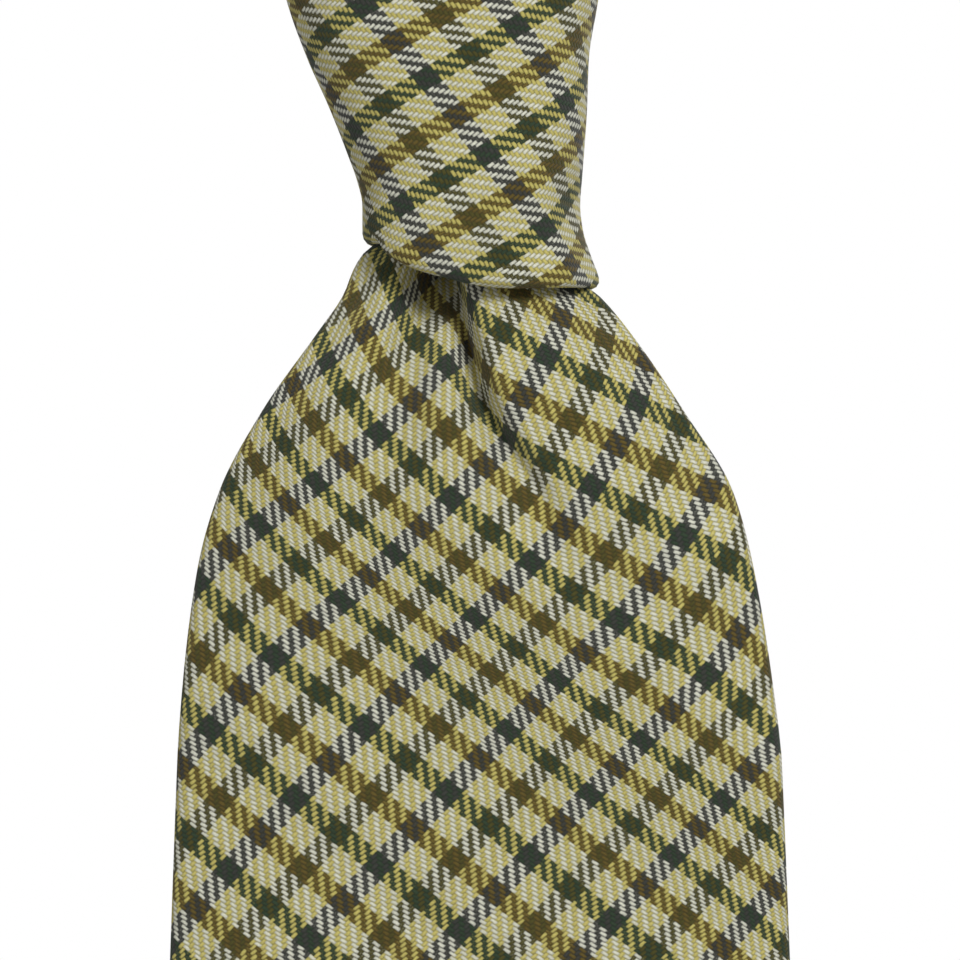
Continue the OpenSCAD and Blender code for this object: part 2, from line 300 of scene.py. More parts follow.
class Nodes:
    """Short ways to add shader nodes to one material."""

    def __init__(self, name):
        self.material = bpy.data.materials.new(name)
        self.material.use_nodes = True
        self.tree = self.material.node_tree
        self.tree.nodes.clear()
        self.out = self.tree.nodes.new("ShaderNodeOutputMaterial")
        self.shader = self.tree.nodes.new("ShaderNodeBsdfPrincipled")
        self.tree.links.new(self.shader.outputs[0], self.out.inputs[0])

    def plug(self, value, socket):
        if isinstance(value, bpy.types.NodeSocket):
            self.tree.links.new(value, socket)
        elif value is not None:
            socket.default_value = value

    def math(self, operation, *values):
        node = self.tree.nodes.new("ShaderNodeMath")
        node.operation = operation
        for value, socket in zip(values, node.inputs):
            self.plug(value, socket)
        return node.outputs[0]

    def mix(self, share, a, b, blend="MIX"):
        node = self.tree.nodes.new("ShaderNodeMix")
        node.data_type = "RGBA"
        node.blend_type = blend
        self.plug(share, node.inputs[0])
        for value, socket in ((a, node.inputs[6]), (b, node.inputs[7])):
            self.plug(value, socket)
        return node.outputs[2]

    def node(self, kind, outputs=0, **inputs):
        node = self.tree.nodes.new(kind)
        for key, value in inputs.items():
            if hasattr(node, key):
                setattr(node, key, value)
            else:
                self.plug(value, node.inputs[key.replace("_", " ")])
        return node.outputs[outputs]

    def noise(self, vector, scale, detail, roughness=0.5):
        return self.node("ShaderNodeTexNoise", Vector=vector, Scale=scale, Detail=detail, Roughness=roughness)

    def bands(self, vector, scale, distortion, direction="X"):
        """Fine bands, for ribs, picks and plies."""
        return self.node("ShaderNodeTexWave", outputs=1, Vector=vector, Scale=scale, Distortion=distortion,
                         bands_direction=direction)

    def about_zero(self, noise, scale):
        return self.math("MULTIPLY", self.math("SUBTRACT", noise, 0.5), scale)

    def bump(self, height, distance, strength=1.0):
        node = self.tree.nodes.new("ShaderNodeBump")
        node.inputs["Distance"].default_value = distance
        node.inputs["Strength"].default_value = strength
        self.tree.links.new(height, node.inputs["Height"])
        self.tree.links.new(node.outputs[0], self.shader.inputs["Normal"])

    def set(self, **values):
        for key, value in values.items():
            self.plug(value, self.shader.inputs[key.replace("_", " ")])
        return self.material


def rgb(r, g, b):
    """A display colour, 0 to 255, as the linear colour that shaders use."""
    v = np.array([r, g, b]) / 255
    linear = np.where(v <= 0.04045, v / 12.92, ((v + 0.055) / 1.055) ** 2.4)
    return (*linear.tolist(), 1.0)


WHITE = rgb(230, 230, 212)
YELLOW = rgb(208, 196, 110)
GREEN = rgb(53, 70, 51)
CHARCOAL = rgb(64, 65, 60)
BROWN = rgb(104, 88, 40)
OLIVE = rgb(84, 80, 36)


def wool():
    """Gun-club check: eight light and six dark yarns by turns in both directions, woven as a 2/2 twill."""
    n = Nodes("wool_check")
    uv = n.node("ShaderNodeUVMap", uv_map="yarns")
    split = n.tree.nodes.new("ShaderNodeSeparateXYZ")
    n.plug(uv, split.inputs[0])
    sway = n.about_zero(n.noise(uv, 0.35, 1.0), 0.5)
    fray = n.about_zero(n.noise(uv, 1.4, 3.0, 0.7), 0.5)
    a = n.math("ADD", split.outputs[0], n.math("ADD", sway, fray))
    b = n.math("ADD", split.outputs[1], n.math("SUBTRACT", sway, fray))
    ia, ib = n.math("FLOOR", a), n.math("FLOOR", b)
    fa, fb = n.math("FRACT", a), n.math("FRACT", b)
    step = n.math("FLOORED_MODULO", n.math("SUBTRACT", ia, ib), 4.0)
    warp_on_top = n.math("LESS_THAN", step, 1.5)

    def yarn_colour(index, light, dark_one, dark_two, seed):
        place = n.math("FLOORED_MODULO", index, REPEAT)
        is_dark = n.math("GREATER_THAN", n.math("FLOORED_MODULO", index, CHECK_YARNS), LIGHT_YARNS - 0.5)
        dark = n.mix(n.math("GREATER_THAN", place, CHECK_YARNS - 0.5), dark_one, dark_two)
        colour = n.mix(is_dark, light, dark)
        chance = n.node("ShaderNodeTexWhiteNoise", noise_dimensions="1D", W=n.math("ADD", index, seed))
        shade = n.math("ADD", n.math("MULTIPLY", chance, 0.16), 0.92)
        return colour, shade

    warp_colour, warp_shade = yarn_colour(ia, WHITE, GREEN, BROWN, 3.0)
    weft_colour, weft_shade = yarn_colour(ib, YELLOW, CHARCOAL, OLIVE, 71.0)
    colour = n.mix(warp_on_top, weft_colour, warp_colour)
    shade = n.math(
        "ADD",
        n.math("MULTIPLY", warp_on_top, warp_shade),
        n.math("MULTIPLY", n.math("SUBTRACT", 1.0, warp_on_top), weft_shade),
    )
    # Across and along the float that shows, from -1 to 1
    across_warp = n.math("MULTIPLY_ADD", fa, 2.0, -1.0)
    across_weft = n.math("MULTIPLY_ADD", fb, 2.0, -1.0)
    along_warp = n.math("SUBTRACT", fb, step)
    along_weft = n.math("ADD", step, n.math("SUBTRACT", fa, 3.0))

    def pick(one, other):
        difference = n.math("SUBTRACT", one, other)
        return n.math("MULTIPLY_ADD", difference, warp_on_top, other)

    across = pick(across_warp, across_weft)
    along = pick(along_warp, along_weft)
    # The float leans a little across its own yarn's line
    across = n.math("MULTIPLY_ADD", along, 0.22, across)
    round_across = n.math("SUBTRACT", 1.0, n.math("MULTIPLY", across, across))
    round_across = n.math("POWER", n.math("MAXIMUM", round_across, 0.0), 0.45)
    fall = n.math("POWER", n.math("ABSOLUTE", along), 2.6)
    height = n.math("MULTIPLY", round_across, n.math("SUBTRACT", 1.0, n.math("MULTIPLY", fall, 0.8)))
    # Plies and loose fibres
    ply = n.math("SINE", n.math("ADD", n.math("MULTIPLY", along, 7.0), n.math("MULTIPLY", across, 4.5)))
    fuzz = n.noise(uv, 3.2, 4.0, 0.7)
    fibre = n.math("MULTIPLY_ADD", ply, 0.05, n.about_zero(fuzz, 0.55))
    height = n.math("ADD", height, fibre)
    # Painted shade: the float's colour darkens where its height is low, at its sides and ends and between the
    # plies; the yarn's random tone and fibre fuzz are multiplied in too
    light = n.math("MULTIPLY_ADD", n.math("MAXIMUM", height, 0.0), 0.42, 0.52)
    light = n.math("MULTIPLY", light, shade)
    light = n.math("ADD", light, n.about_zero(fuzz, 0.5))
    painted_shade_and_tone = n.tree.nodes.new("ShaderNodeCombineColor")
    for socket in painted_shade_and_tone.inputs:
        n.plug(light, socket)
    # Beside a float the yarns below it show where they are darker
    below = n.mix(warp_on_top, warp_colour, weft_colour)
    beside = n.math("MINIMUM", n.math("POWER", n.math("ABSOLUTE", across), 3.5), 1.0)
    colour = n.mix(n.math("MULTIPLY", beside, 0.5), colour, below, "DARKEN")
    # Fibres of the crossing yarns stray over the float
    stray = n.about_zero(n.noise(uv, 2.3, 3.0, 0.8), 1.5)
    colour = n.mix(n.math("MINIMUM", n.math("MAXIMUM", stray, 0.0), 0.25), colour, below)
    # The colour takes that painted shade and tone
    colour = n.mix(1.0, colour, painted_shade_and_tone.outputs[0], "MULTIPLY")
    n.bump(height, 0.00013, 0.8)
    return n.set(Base_Color=colour, Roughness=0.92, Sheen_Weight=0.12, Sheen_Roughness=0.6,
                 Specular_IOR_Level=0.15)


def canvas():
    """Napped interlining: a loose plain weave."""
    n = Nodes("interlining_canvas")
    place = n.node("ShaderNodeTexCoord", outputs=3)
    ribs = n.bands(place, 420.0, 1.5)
    picks = n.bands(place, 380.0, 1.5, "Z")
    height = n.math("MULTIPLY", ribs, picks)
    nap = n.noise(place, 900.0, 4.0)
    # Lighter where the weave's height is high: painted shade in its hollows, mixed with nap tone at random
    share = n.math("MULTIPLY_ADD", nap, 0.5, n.math("MULTIPLY", height, 0.4))
    colour = n.mix(share, rgb(206, 196, 170), rgb(236, 229, 212))
    n.bump(height, 0.00015, 0.6)
    return n.set(Base_Color=colour, Roughness=0.95, Sheen_Weight=0.3)


def silk():
    """Lining silk: a fine satin with a slanting rib."""
    n = Nodes("tipping_silk")
    place = n.node("ShaderNodeTexCoord", outputs=3)
    turned = n.node("ShaderNodeMapping", Vector=place, Rotation=(0.0, 0.9, 0.0))
    ribs = n.bands(turned, 900.0, 0.6)
    blotch = n.noise(place, 60.0, 3.0)
    # Darker in the ribs' grooves: painted shade, with blotches of tone at random
    share = n.math("MULTIPLY_ADD", ribs, 0.35, n.math("MULTIPLY", blotch, 0.4))
    colour = n.mix(share, rgb(74, 70, 34), rgb(112, 106, 58))
    n.bump(ribs, 0.00004, 0.5)
    return n.set(Base_Color=colour, Roughness=0.38, Sheen_Weight=0.25, Anisotropic=0.4)


def thread():
    """Two-ply sewing thread."""
    n = Nodes("sewing_thread")
    place = n.node("ShaderNodeTexCoord", outputs=3)
    turned = n.node("ShaderNodeMapping", Vector=place, Rotation=(0.4, 0.7, 0.3))
    ply = n.bands(turned, 700.0, 0.4)
    # Darker between the plies: painted shade
    colour = n.mix(ply, rgb(46, 48, 34), rgb(86, 86, 60))
    n.bump(ply, 0.00006, 0.8)
    return n.set(Base_Color=colour, Roughness=0.7, Sheen_Weight=0.2)


def satin():
    """Blank woven label: satin ribbon with fine ribs."""
    n = Nodes("label_satin")
    place = n.node("ShaderNodeTexCoord", outputs=3)
    ribs = n.bands(place, 1300.0, 0.3, "Z")
    slub = n.noise(place, 260.0, 3.0)
    # Darker in the ribs' grooves: painted shade, with slubs of tone at random
    share = n.math("MULTIPLY_ADD", ribs, 0.3, n.math("MULTIPLY", slub, 0.5))
    colour = n.mix(share, rgb(214, 208, 192), rgb(240, 236, 224))
    n.bump(ribs, 0.00004, 0.6)
    return n.set(Base_Color=colour, Roughness=0.45, Sheen_Weight=0.2)


WOOL, CANVAS, SILK, THREAD, SATIN = wool(), canvas(), silk(), thread(), satin()


# ---- Kinds of cloth, each with its material and thickness ----


def woven(name, grid, uv, nodes, body=None):
    """The tie's own cloth."""
    return cloth(name, grid, uv, CLOTH_T, WOOL, nodes, body)


def interlining(name, grid, nodes, body=None):
    flat = grid[..., [0, 2]]
    return cloth(name, grid, flat, LINING_T, CANVAS, nodes, body)


def tipping(name, grid, nodes, body):
    """Lining silk behind a point."""
    return cloth(name, grid, grid[..., [0, 2]], SILK_T, SILK, nodes, body)


def ribbon(name, grid, nodes, body):
    """A blank label."""
    return cloth(name, grid, grid[..., [0, 2]], LABEL_T, SATIN, nodes, body)


# ---- Folded cloth: a section that goes round a strip ----

FLAP = 14  # columns on each back flap
ROLL = 6  # columns round each folded edge


def folded(left, right, face, back, gap, front_x, r):
    """One section of a folded strip: (across, depth) from one flap's edge, round the face, to the other's."""
    turn = np.linspace(0, math.pi, ROLL + 2)[1:-1]
    lx, rx = left + r, right - r
    flap = np.linspace(0, 1, FLAP)
    x1 = -gap + (lx + gap) * flap
    x5 = rx + (gap - rx) * flap
    mid_l, half_l = (face(lx) + back(lx)) / 2, (back(lx) - face(lx)) / 2
    mid_r, half_r = (face(rx) + back(rx)) / 2, (back(rx) - face(rx)) / 2
    return np.concatenate([
        np.stack([x1, back(x1)], -1),
        np.stack([lx - r * np.sin(turn), mid_l + half_l * np.cos(turn)], -1),
        np.stack([front_x, face(front_x)], -1),
        np.stack([rx + r * np.sin(turn), mid_r - half_r * np.cos(turn)], -1),
        np.stack([x5, back(x5)], -1),
    ])


def arc_from_middle(section, middle):
    """Length along a section, counted from the column middle."""
    run = np.concatenate([[0], np.cumsum(np.linalg.norm(np.diff(section, axis=0), axis=-1))])
    return run - run[middle]


# ---- Front blade ----

SHOULDER = BLADE_L - BLADE_HALF  # how far down the point begins
left_edge = curve((-8, 9.6), (-6, 11), (-4, 13.4), (-2, 14.6), (0.6, 15.6), (5.1, 18.6), (14.1, 24.9),
                  (23.1, 29.7), (32.1, 32.2), (45.6, 33.9), (54.6, 34.5), (SHOULDER, BLADE_HALF))
right_edge = curve((-8, 9), (-3, 10.4), (0, 12.6), (0.6, 13.4), (5.1, 17.2), (14.1, 23.3), (23.1, 28.8),
                   (32.1, 31.2), (45.6, 33.4), (54.6, 34.4), (SHOULDER, BLADE_HALF))
face_line = curve((-8, -76.4), (0, -77.7), (6, -79.8), (14, -81.2), (30, -81), (60, -79.7), (110, -78.6),
                  (BLADE_L, -78.2))
edge_fall = curve((-8, 5), (0, 6), (15, 6.5), (30, 5), (60, 3), (110, 1.4), (BLADE_L, 0.5))
valley_x = curve((-8, -3.6), (0, -5.6), (15, -9.6), (30, -13), (110, -14))
valley_depth = curve((-8, 2.5), (0, 5.6), (8, 4.2), (16, 2.3), (26, 0.9), (42, 0))
valley_width = curve((-8, 2.6), (0, 3), (16, 4.6), (40, 7))
crease_x = curve((-8, -4.8), (0, -2.6), (5.1, -1.5), (12.3, 0.2), (18.6, 3.4), (24.2, 6.8), (45, 12),
                 (110, 13))
crease_depth = curve((-8, 2.5), (0, 6), (6, 6.3), (13, 5), (19, 3), (25, 1.3), (33, 0.3), (46, 0))
VENT_TOP = 366  # where the two flaps part
MARGIN = 10  # cloth turned back along the slanting edges of the point
FRONT_LEFT, FRONT_MIDDLE, FRONT_RIGHT = 34, 18, 44  # columns up to the valley, the crease and the edge


def blade_half_widths(d):
    cut = max(BLADE_L - d, 0.7) if d > SHOULDER else BLADE_HALF
    return min(float(left_edge(d)), cut), min(float(right_edge(d)), cut)


def thickness_at(half):
    """A lined strip thins out towards the end of its point."""
    return LINED_T * min(1.0, 0.45 + half / 12)


def blade_face(d):
    left, right = blade_half_widths(d)

    def at(x):
        side = np.where(x < 0, -x / left, x / right)
        y = face_line(d) + edge_fall(d) * np.abs(side) ** 3
        u = x - crease_x(d)
        wall = np.where(u < 0, 2.1 + 0.06 * max(d, 0), 0.55 + 0.05 * max(d, 0))
        y = y + valley_depth(d) * bump(x - valley_x(d), valley_width(d))
        return y + crease_depth(d) * np.exp(-np.abs(u / wall) ** 1.5)

    return at


def blade_back(d):
    left, right = blade_half_widths(d)
    thick = thickness_at(min(left, right))

    def at(x):
        side = np.where(x < 0, -x / left, x / right)
        y = face_line(d) + thick + edge_fall(d) * np.abs(side) ** 3
        y = y + valley_depth(d) * bump(x - valley_x(d), valley_width(d) + 1)
        y = y + crease_depth(d) * bump(x - crease_x(d) + 0.8, 3.2 + 0.05 * max(d, 0))
        return np.minimum(y, TAIL_LOW[1] - 0.6)  # clear of the tail, which slides behind it

    return at


def blade_front_x(d, r):
    """Columns across the face, crowded where the crease runs."""
    left, right = blade_half_widths(d)
    lo, hi = -left + r, right - r
    squeeze = min(1.0, min(left, right) / 20) if d > 100 else 1.0
    v, c = float(valley_x(d)) * squeeze, float(crease_x(d)) * squeeze
    a = np.linspace(0, 1, FRONT_LEFT, endpoint=False)
    b = np.linspace(0, 1, FRONT_MIDDLE, endpoint=False)
    e = np.linspace(0, 1, FRONT_RIGHT)
    crowd = 1.5 - 0.5 * np.clip(d / 24, 0, 1)
    return np.concatenate([lo + (v - lo) * a, v + (c - v) * (1 - (1 - b) ** crowd), c + (hi - c) * e**crowd])


def opening(d, top, slope, half):
    """Half the gap between the flaps: closed, then a V, then bounded by the margins of the point."""
    return max(0.25, min(0.25 + max(0.0, d - top) * slope, half - MARGIN))


BLADE_ROWS = np.concatenate([
    np.arange(-8, 44, 1.0), np.arange(44, 112, 3.0), np.arange(114, 360, 12.0), np.arange(362, 396, 4.0),
    np.linspace(SHOULDER - 0.6, BLADE_L - 0.7, 24),
])


def nearest(grid, x, z, front):
    """The grid place on the front that looks from ahead to be at (x, z)."""
    far = (grid[..., 0] - x) ** 2 + (grid[..., 2] - z) ** 2 + np.where(front, 0, 1e6)
    return np.unravel_index(np.argmin(far), far.shape)


def blade():
    sections, arcs = [], []
    middle = FLAP + ROLL + FRONT_LEFT + FRONT_MIDDLE // 2
    for d in BLADE_ROWS:
        left, right = blade_half_widths(d)
        half = min(left, right)
        r = min(thickness_at(half) / 2, 0.45 * half)
        gap = opening(d, VENT_TOP, 1.35, half)
        s = folded(-left, right, blade_face(d), blade_back(d), gap, blade_front_x(d, r), r)
        sections.append(s)
        arcs.append(arc_from_middle(s, middle) + s[middle, 0])
    sections = np.array(sections)
    z = np.broadcast_to((MOUTH_Z - BLADE_ROWS)[:, None], sections.shape[:2])
    grid = np.stack([sections[..., 0], sections[..., 1], z], -1)
    flat = np.stack([np.array(arcs), np.broadcast_to(-BLADE_ROWS[:, None], z.shape)], -1)
    loose = BLADE_ROWS < 112  # below this the blade is as good as flat
    fixed = np.zeros(z.shape, bool)
    fixed[np.flatnonzero(loose)[-2:]] = True
    flat[loose] = lay(grid[loose], flat[loose], fixed[loose])
    front = np.zeros(z.shape, bool)
    front[:, FLAP + ROLL:-FLAP - ROLL] = True

    def belt(u):  # the yarns lie closer in one slanting belt of the cloth
        return 1.2 * bump(u + 31.5, 10)

    uv = weave(flat, at=flat[nearest(grid, *BLADE_SQUARE, front)], dense=belt)
    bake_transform(woven("front_blade_cloth", grid, uv, ["blade_shell"]))

    rows = BLADE_ROWS[(BLADE_ROWS > -6) & (BLADE_ROWS < BLADE_L - 10)]
    layer = []
    for d in rows:
        x = blade_front_x(d, LINED_T / 2 + 1.2)
        face = blade_face(d)(x)
        layer.append(level_row(x, face + 0.32 * (blade_back(d)(x) - face), MOUTH_Z - d))
    layer = np.array(layer)
    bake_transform(interlining("front_blade_lining", layer, ["blade_interlining"]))

    # The silk lies on the interlining behind the point and shows in the V
    rows = np.concatenate([np.arange(BLADE_L - 150, BLADE_L - 44, 8.0),
                           np.arange(BLADE_L - 43, BLADE_L - 6, 3.0)])
    tip = []
    for d in rows:
        left, right = blade_half_widths(d)
        x = np.linspace(-left + 3, right - 3, 31)
        back = blade_back(d)(x) - CLOTH_T - 0.1 + 0.06 * np.sin(x * 0.35 + d * 0.11)
        tip.append(level_row(x, back, MOUTH_Z - d))
    tip = np.array(tip)[:, ::-1]
    tipping("front_blade_tipping", tip, ["blade_tipping"], "front_blade")


def slip_stitches(name, nodes, start, end, back, body=None):
    """Slanting stitches over the slit behind a blade."""
    pitch = 6.5
    paths = []
    for d in np.arange(start, end, pitch):
        t = np.linspace(-1, 1, 9)
        lift = 0.28 * np.sqrt(1 - 0.9 * t**2)
        y = np.array([float(back(d + 1.6 * k)(np.array([1.0 * k]))[0]) for k in t]) + lift - 0.12
        paths.append(np.stack([1.1 * t, y, MOUTH_Z - d - 1.6 * t], -1))
    return threads(name, paths, 0.2, nodes, body)


def bar_tack(name, nodes, vent, back, half, body):
    """A bar of threads side by side with a few wound round it, where the flaps part."""
    d = vent - 1
    y = float(back(vent)(np.zeros(1))[0])
    t = np.linspace(-1, 1, 13)
    paths = []
    for k in range(5):
        z = MOUTH_Z - d + (k - 2) * 0.36
        paths.append(np.stack([half * t, y + 0.35 - 0.9 * t**8, z + 0.1 * np.sin(5 * t + k)], -1))
    for k in range(-5, 6):
        a = np.linspace(-0.2, math.pi + 0.2, 9)
        x = np.full_like(a, k * half / 6.5)
        paths.append(np.stack([x, y + 0.25 + 0.5 * np.sin(a), MOUTH_Z - d + 1.15 * np.cos(a)], -1))
    return threads(name, paths, 0.2, nodes, body)


def keeper():
    low, high = corners("keeper_loop")
    foot, half, z0, z1 = low[1], high[0], low[2], high[2]
    rise = high[1] - low[1] - 0.8
    x = np.concatenate([np.linspace(-half, -21.4, 9), np.linspace(-20.6, -18.4, 7),
                        np.linspace(-17.4, 17.4, 31), np.linspace(18.4, 20.6, 7), np.linspace(21.4, half, 9)])
    foot_x, slope = 21.6, 3.8  # the strip leaves the blade this far from the middle and rises over this width
    climb = np.clip((foot_x - np.abs(x)) / slope, 0, 1)
    climb = climb * climb * (3 - 2 * climb)
    y = foot + rise * climb + 0.8 + 0.35 * climb * (1 - (x / 19) ** 2)
    v = np.linspace(0, 1, 13)
    round_edge = 0.35 * (np.abs(2 * v - 1) ** 8)
    z = z0 + (z1 - z0) * v
    grid = np.stack(np.broadcast_arrays(x[None], y[None] - round_edge[:, None], z[:, None]), -1)
    run = np.cumsum(np.hypot(np.gradient(x), np.gradient(y)))
    flat = np.stack(np.broadcast_arrays(run[None], z[:, None]), -1)
    cloth("keeper", grid, weave(flat), 0.8, WOOL, ["keeper_loop"], "front_blade")
    t = np.linspace(-1, 1, 7)
    paths = []
    for side in (-1, 1):
        for k in range(7):
            x = side * (half - 1.6) + 0.9 * t
            y = foot + 0.8 + 0.2 * (1 - 1.8 * t**2)
            z = z0 + 1 + k * (z1 - z0 - 2) / 6 + 0.35 * t
            paths.append(np.stack([x, y, z], -1))
    threads("keeper_threads", paths, 0.18, ["keeper_stitches"], "front_blade")


def label():
    low, high = corners("blank_label")
    x = np.linspace(low[0], high[0], 41)
    v = np.linspace(0, 1, 15)
    z = low[2] + (high[2] - low[2]) * v
    wave = 0.18 * np.sin(x * 0.19 + 1)[None] * np.sin(v * 2.6)[:, None] + 0.12
    grid = np.stack(np.broadcast_arrays(x[None], low[1] + 0.4 + wave, z[:, None]), -1)
    ribbon("label", grid, ["blank_label"], "front_blade")
    t = np.linspace(-1, 1, 7)
    paths = []
    for side in (-1, 1):
        for k in range(6):
            x = np.full_like(t, side * (high[0] - 1.4))
            y = low[1] + 0.55 + 0.22 * (1 - 1.6 * t**2)
            z = low[2] + 2 + k * (high[2] - low[2] - 4) / 5 + 1.1 * t
            paths.append(np.stack([x, y, z], -1))
    threads("label_threads", paths, 0.15, ["label_stitches"], "front_blade")


blade()
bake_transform(slip_stitches("front_blade_slip_stitch", ["blade_slip_stitch"], 12, VENT_TOP - 6, blade_back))
bar_tack("front_blade_bar_tack", ["blade_bar_tack"], VENT_TOP, blade_back, 4.6, "front_blade")
keeper()
label()


# ---- Tail ----

TAIL_SHOULDER = TAIL_L - TAIL_HALF
tail_edge = curve((-3, 6), (20, 6.2), (45, 7.4), (80, 13), (120, 16.5), (TAIL_SHOULDER, TAIL_HALF))
tail_y = curve((-3, TAIL_LOW[1]), (60, TAIL_LOW[1] + 0.2), (200, TAIL_LOW[1]), (TAIL_L, TAIL_LOW[1] + 0.4))
TAIL_VENT = TAIL_L - 48


def tail_half(d):
    return min(float(tail_edge(d)), max(TAIL_L - d, 0.7) if d > TAIL_SHOULDER else TAIL_HALF)


def tail_face(d):
    return lambda x: tail_y(d) + 0.0012 * x**2 + 0.25 * np.sin(x * 0.16 + d * 0.012)


def tail_back(d):
    return lambda x: tail_face(d)(x) + thickness_at(tail_half(d))


def tail():
    rows = np.concatenate([
        np.arange(-3, 60, 3.0), np.arange(64, 320, 8.0), np.arange(324, TAIL_SHOULDER, 4.0),
        np.linspace(TAIL_SHOULDER + 0.3, TAIL_L - 0.7, 16),
    ])
    columns = 41
    sections, arcs = [], []
    for d in rows:
        half = tail_half(d)
        r = min(thickness_at(half) / 2, 0.45 * half)
        x = np.linspace(-half + r, half - r, columns)
        s = folded(-half, half, tail_face(d), tail_back(d), opening(d, TAIL_VENT, 0.9, half), x, r)
        sections.append(s)
        arcs.append(arc_from_middle(s, FLAP + ROLL + columns // 2))
    sections = np.array(sections)
    z = np.broadcast_to((MOUTH_Z - rows)[:, None], sections.shape[:2])
    grid = np.stack([sections[..., 0], sections[..., 1], z], -1)
    uv = weave(np.stack([np.array(arcs), z], -1))
    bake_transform(woven("tail_cloth", grid, uv, ["tail_upper_shell", "tail_shell"]))
    rows = rows[rows < TAIL_L - 8]
    layer, tip = [], []
    for d in rows:
        half = tail_half(d) - 2.4
        x = np.linspace(-half, half, 13)
        layer.append(level_row(x, tail_face(d)(x) + 1.1, MOUTH_Z - d))
        if d > TAIL_L - 100:
            x = np.linspace(half, -half, 21)
            y = tail_back(d)(x) - CLOTH_T - 0.1 + 0.06 * np.sin(x * 0.4 + d * 0.13)
            tip.append(level_row(x, y, MOUTH_Z - d))
    nodes = ["tail_upper_interlining", "tail_interlining"]
    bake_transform(interlining("tail_lining", np.array(layer), nodes))
    tipping("tail_tipping_silk", np.array(tip), ["tail_tipping"], "tail_lower")


def care_slip():
    low, high = corners("care_label")
    v = np.linspace(0, 1, 21)
    x = np.linspace(high[0], low[0], 11)
    y = low[1] + 0.5 + 2.2 * v**2
    z = high[2] - (high[2] - low[2]) * v
    grid = np.stack(np.broadcast_arrays(x[None], y[:, None], z[:, None]), -1)
    ribbon("care_slip", grid, ["care_label"], "tail_lower")


tail()
slip_stitches("tail_slip_stitches", ["tail_slip_stitch"], 66, TAIL_VENT - 6, tail_back, "tail_lower")
bar_tack("tail_bar_tack_threads", ["tail_bar_tack"], TAIL_VENT, tail_back, 3.6, "tail_lower")
care_slip()


# ---- Knot ----

wrap_left = curve((-1, 13.4), (4, 13.5), (9.6, 13.5), (12.4, 14.1), (15.2, 15.1), (20.8, 17.3), (26.4, 19.8),
                  (32.1, 21.9), (37, 23.2), (42, 23.9))
wrap_right = curve((-1, 13.8), (0, 13.9), (1.1, 13.7), (3.9, 12.7), (6.8, 11.8), (9.6, 11.5), (12.4, 11.7),
                   (20.8, 12.3), (26.4, 12.5), (32.1, 13.4), (42, 15))
wrap_depth = curve((0, 12.6), (8, 13), (32, 13), (42, 12.2))
wrap_floor = curve((-13.5, 5), (-12.4, 3.4), (-9.6, 1.9), (-5.6, 0.8), (-2.2, 0), (2.2, -0.3), (13.2, 0))
wrap_top = curve((-24, 41), (-5, 40), (14, 38))


SQUARENESS = 2.8  # of the knot's section: 2 is an ellipse
FOLD_FOOT, FOLD_LEAN, FOLD_TOP = 10.5, 0.31, 14  # the slanting fold on the knot's right part


def on_knot(angle, w, inset):
    """A point of the knot's rounded square section, w above the mouth and inset below the surface."""
    left, right = wrap_left(w), wrap_right(w)
    c, s = np.cos(angle), np.sin(angle)
    k = (np.abs(c) ** SQUARENESS + np.abs(s) ** SQUARENESS) ** (-1 / SQUARENESS)
    x = (right - left) / 2 + ((right + left) / 2 - inset) * c * k
    y = KNOT_Y + (wrap_depth(w) - inset) * s * k
    # The right part of the last pass turns back along a slanting fold, which fades upwards and round the side
    past_line = np.maximum(x - (FOLD_FOOT - FOLD_LEAN * w), 0)
    fold = past_line * np.clip((FOLD_TOP - w) / 5, 0, 1) * np.clip((-s - 0.1) / 0.5, 0, 1) * np.exp(-inset)
    return np.stack([x, y + 0.8 * fold, MOUTH_Z + w], -1)


TURN_ROWS, FACE_ROWS, HEM_ROWS = 6, 46, 3  # of a wrapped strip: round an edge, up the face, turned in
LEVEL_ROW = 30  # from the top: this row goes round the middle of the face, and columns are spaced by it
SIDE_LEFT, SIDE_RIGHT = -13.5, 13.2  # behind the knot a strip's edges stay as high as they are here


